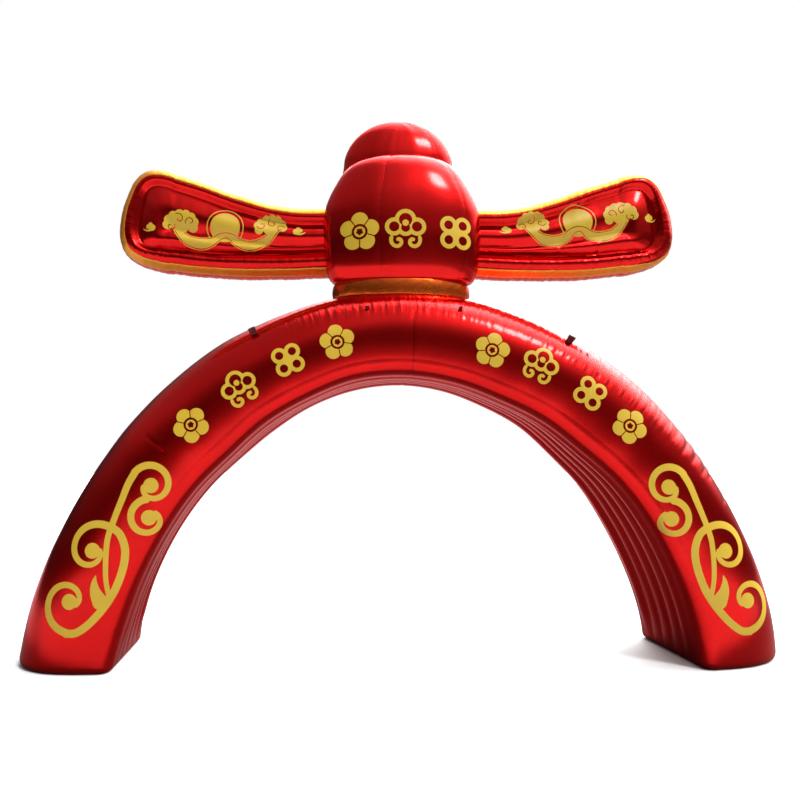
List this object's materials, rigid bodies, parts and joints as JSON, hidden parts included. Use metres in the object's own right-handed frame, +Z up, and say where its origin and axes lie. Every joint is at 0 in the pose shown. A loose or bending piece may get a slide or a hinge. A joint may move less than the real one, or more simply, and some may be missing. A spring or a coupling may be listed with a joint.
{
  "type": "inflatable arch with a winged hat on its crown",
  "caption": "Blown-up red cloth arch on flat feet with a walk-through, carrying a blown-up court hat with side wings and gold edging.",
  "frame": {"origin": "on the ground, in the middle of the passage", "axes": "+Z up, +X across the passage towards the right leg, the printed front faces -Y"},
  "size_m": [7.949, 1.4421, 5.9829],
  "materials": {
    "red_cloth": "glossy coated",
    "gold_cloth": "glossy coated",
    "webbing": "woven, matt"
  },
  "bodies": {
    "root": {"arch_tube": "red_cloth", "hat_front": "red_cloth", "hat_rear": "red_cloth", "hat_collar": "gold_cloth", "wing_left": "red_cloth", "wing_right": "red_cloth", "wing_trim_left": "gold_cloth", "wing_trim_right": "gold_cloth", "tab_outer_left": "webbing", "tab_outer_right": "webbing", "tab_crown_left": "webbing", "tab_crown_right": "webbing", "tab_under_left": "webbing", "tab_under_right": "webbing"}
  },
  "joints": []
}
